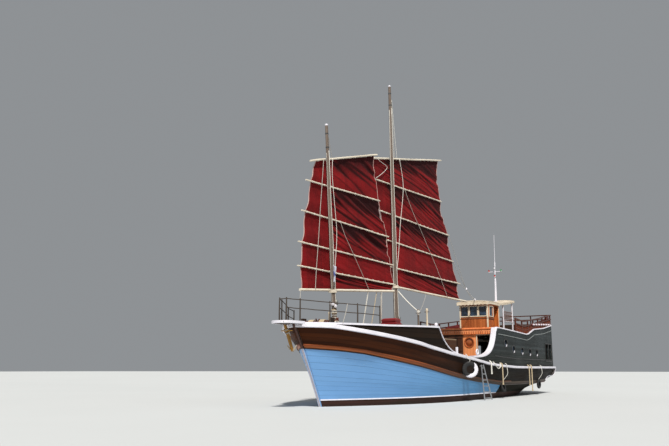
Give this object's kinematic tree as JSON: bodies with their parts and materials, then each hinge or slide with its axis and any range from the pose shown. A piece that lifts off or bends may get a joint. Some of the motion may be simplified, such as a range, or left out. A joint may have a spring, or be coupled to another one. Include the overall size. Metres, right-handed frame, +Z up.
{
  "type": "two-masted wooden junk ship",
  "caption": "Two-masted wooden cruising junk with swinging battened sails, raised stern castle, wheelhouse, rudder and propeller.",
  "frame": {"origin": "on the centreline at the waterline, amidships between the stem head and the stern", "axes": "+X to the bow, +Y to port, +Z up"},
  "size_m": [26.3, 6.476, 16.7345],
  "materials": {
    "hull_paint": "weathered light blue gloss paint on planks",
    "white_paint": "white paint on timber",
    "dark_timber": "dark varnished planks",
    "varnished_wood": "glossy mahogany varnish",
    "orange_wood": "warm orange varnish",
    "slate_paint": "grey-green paint on planks",
    "deck_boards": "worn boards",
    "mast_wood": "weathered bare wood",
    "spar_wood": "pale bare wood",
    "roof_paint": "cream paint",
    "sail_cloth": "dark red canvas",
    "cushion_cloth": "dark red canvas",
    "tyre_rubber": "worn black rubber",
    "cast_iron": "painted engine castings",
    "bronze": "dull bronze"
  },
  "bodies": {
    "root": {"hull": "hull_paint", "keel": "dark_timber", "stem_post": "white_paint", "foredeck": "deck_boards", "main_deck": "deck_boards", "cap_rail": "white_paint", "bow_platform": "white_paint", "bow_railing": "varnished_wood", "wooden_anchor": "spar_wood", "windlass_frame": "varnished_wood", "bulwark_port": "dark_timber", "bulwark_starboard": "dark_timber", "castle_side_port": "slate_paint", "castle_side_starboard": "slate_paint", "wheelhouse_port": "orange_wood", "wheelhouse_starboard": "orange_wood", "wheelhouse_front": "orange_wood", "wheelhouse_back": "orange_wood", "wheelhouse_roof": "roof_paint", "awning_frame_port": "white_paint", "awning_frame_starboard": "white_paint", "bollard_port": "white_paint", "bollard_starboard": "white_paint", "foremast": "mast_wood", "mainmast": "mast_wood", "front_bulkhead": "orange_wood", "upper_deck": "deck_boards", "transom": "slate_paint", "helm_stand": "varnished_wood", "signal_pole": "white_paint", "poop_railing_port": "varnished_wood", "poop_railing_starboard": "varnished_wood", "engine": "cast_iron", "fender_1": "tyre_rubber", "fender_2": "tyre_rubber", "fender_3": "tyre_rubber", "boarding_ladder": "white_paint", "deck_bench": "varnished_wood", "bench_cushion": "cushion_cloth"},
    "foresail": {"fore_boom": "spar_wood", "fore_batten_4": "spar_wood", "fore_batten_3": "spar_wood", "fore_batten_2": "spar_wood", "fore_batten_1": "spar_wood", "fore_yard": "spar_wood", "fore_sail": "sail_cloth"},
    "mainsail": {"main_boom": "spar_wood", "main_batten_4": "spar_wood", "main_batten_3": "spar_wood", "main_batten_2": "spar_wood", "main_batten_1": "spar_wood", "main_yard": "spar_wood", "main_sail": "sail_cloth"},
    "steering": {"rudder": "dark_timber"},
    "wheel": {"helm": "varnished_wood"},
    "drive": {"propeller": "bronze"},
    "windlass": {"windlass_drum": "mast_wood"},
    "hatch_lid": {"fore_hatch": "varnished_wood"},
    "cabin_door_leaf": {"cabin_door": "orange_wood"},
    "wheelhouse_door_leaf": {"wheelhouse_door": "orange_wood"}
  },
  "joints": [
    {"name": "foresail_swing", "type": "hinge", "parent": "root", "child": "foresail", "pos_m": [9.198, 0, 0], "axis": [0.0767, 0, 0.9971], "range_deg": [-70, 75]},
    {"name": "mainsail_swing", "type": "hinge", "parent": "root", "child": "mainsail", "pos_m": [4.006, 0, 0], "axis": [0.0297, 0, 0.9996], "range_deg": [-70, 75]},
    {"name": "rudder_turn", "type": "hinge", "parent": "root", "child": "steering", "pos_m": [-10.8, 0, 0], "axis": [0, 0, 1], "range_deg": [-35, 35]},
    {"name": "helm_turn", "type": "hinge", "parent": "root", "child": "wheel", "pos_m": [-5.62, 0, 4.3], "axis": [1, 0, 0], "range_deg": [-350, 350]},
    {"name": "propeller_spin", "type": "hinge", "parent": "root", "child": "drive", "pos_m": [-10.25, 0, -0.7], "axis": [1, 0, 0], "continuous": true},
    {"name": "windlass_spin", "type": "hinge", "parent": "root", "child": "windlass", "pos_m": [10.7, 0, 3.2], "axis": [0, 1, 0], "continuous": true},
    {"name": "fore_hatch_lift", "type": "hinge", "parent": "root", "child": "hatch_lid", "pos_m": [6.7, 0, 3.0003], "axis": [0, -1, 0], "range_deg": [0, 100]},
    {"name": "cabin_door_swing", "type": "hinge", "parent": "root", "child": "cabin_door_leaf", "pos_m": [-1.105, 2.63, 2.2], "axis": [0, 0, 1], "range_deg": [0, 90]},
    {"name": "wheelhouse_door_swing", "type": "hinge", "parent": "root", "child": "wheelhouse_door_leaf", "pos_m": [-6.915, 0.765, 4.2], "axis": [0, 0, 1], "range_deg": [0, 90]}
  ],
  "couplings": [
    {"joint": "helm_turn", "follows": "rudder_turn", "ratio": 10}
  ]
}
